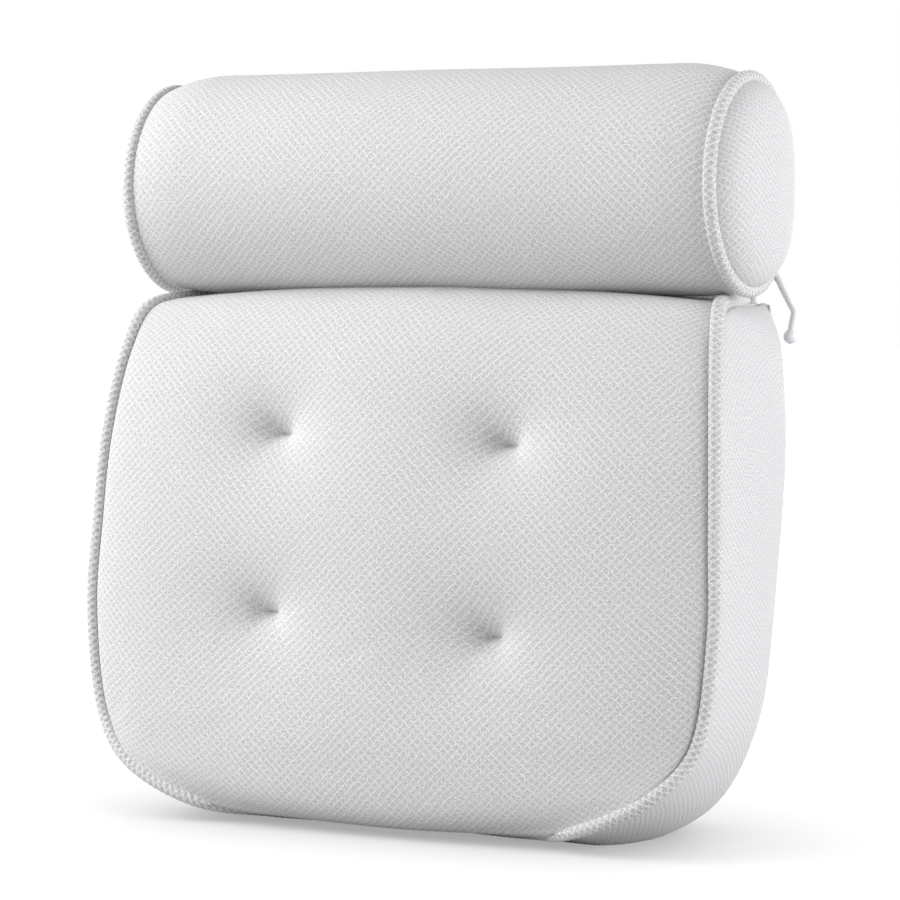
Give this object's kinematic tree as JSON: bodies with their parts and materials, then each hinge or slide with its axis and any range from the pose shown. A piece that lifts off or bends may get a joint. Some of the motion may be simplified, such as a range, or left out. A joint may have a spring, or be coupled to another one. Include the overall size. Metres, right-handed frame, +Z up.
{
  "type": "bath pillow",
  "caption": "Bath pillow in white spacer mesh: a stuffed head roll that folds back over a thick tufted pad, with suction cups and a hanging hook behind.",
  "frame": {"origin": "on the floor, under the head roll's axis and in the middle of the pillow's width", "axes": "+Z up along the pad to the roll, +Y to the back where the suction cups are, +X to the right as seen from the front"},
  "size_m": [0.3472, 0.1558, 0.3705],
  "materials": {
    "mesh": "white open spacer knit, matte",
    "piping": "mesh-covered cord, matte",
    "stuffing": "loose polyester fibre",
    "thread": "polyester thread",
    "vinyl": "soft clear-white vinyl, glossy",
    "webbing": "woven tape, matte",
    "plastic": "moulded, satin white"
  },
  "bodies": {
    "pad": {"pad_front_panel": "mesh", "pad_gusset": "mesh", "pad_back_panel": "mesh", "pad_piping": "piping", "pad_fill": "stuffing", "tuft_tie_1": "thread", "tuft_tie_2": "thread", "tuft_tie_3": "thread", "tuft_tie_4": "thread", "hinge_strip_lower": "mesh", "cup_patch_1": "vinyl", "cup_patch_2": "vinyl", "cup_patch_3": "vinyl", "cup_patch_4": "vinyl", "hook_webbing": "webbing"},
    "roll": {"roll_cover": "mesh", "roll_end_left": "mesh", "roll_end_right": "mesh", "roll_piping_left": "piping", "roll_piping_right": "piping", "roll_fill": "stuffing", "hinge_strip_upper": "mesh", "cup_patch_5": "vinyl", "cup_patch_6": "vinyl"},
    "hook": {"hook": "plastic"},
    "cup_1": {"suction_cup_1": "vinyl"},
    "cup_2": {"suction_cup_2": "vinyl"},
    "cup_3": {"suction_cup_3": "vinyl"},
    "cup_4": {"suction_cup_4": "vinyl"},
    "cup_5": {"suction_cup_5": "vinyl"},
    "cup_6": {"suction_cup_6": "vinyl"}
  },
  "joints": [
    {"name": "roll_fold", "type": "hinge", "parent": "pad", "child": "roll", "pos_m": [0, 0.0479, 0.262], "axis": [-1, 0, 0], "range_deg": [0, 90]},
    {"name": "hook_swing", "type": "hinge", "parent": "pad", "child": "hook", "pos_m": [0.136, 0.059, 0.23], "axis": [-1, 0, 0], "range_deg": [0, 170]},
    {"name": "cup_1_turn", "type": "hinge", "parent": "pad", "child": "cup_1", "pos_m": [-0.088, 0.048, 0.082], "axis": [0, 1, 0], "continuous": true},
    {"name": "cup_2_turn", "type": "hinge", "parent": "pad", "child": "cup_2", "pos_m": [0.088, 0.048, 0.082], "axis": [0, 1, 0], "continuous": true},
    {"name": "cup_3_turn", "type": "hinge", "parent": "pad", "child": "cup_3", "pos_m": [-0.088, 0.048, 0.192], "axis": [0, 1, 0], "continuous": true},
    {"name": "cup_4_turn", "type": "hinge", "parent": "pad", "child": "cup_4", "pos_m": [0.088, 0.048, 0.192], "axis": [0, 1, 0], "continuous": true},
    {"name": "cup_5_turn", "type": "hinge", "parent": "roll", "child": "cup_5", "pos_m": [-0.095, 0.0547, 0.315], "axis": [0, 1, 0], "continuous": true},
    {"name": "cup_6_turn", "type": "hinge", "parent": "roll", "child": "cup_6", "pos_m": [0.095, 0.0547, 0.315], "axis": [0, 1, 0], "continuous": true}
  ]
}
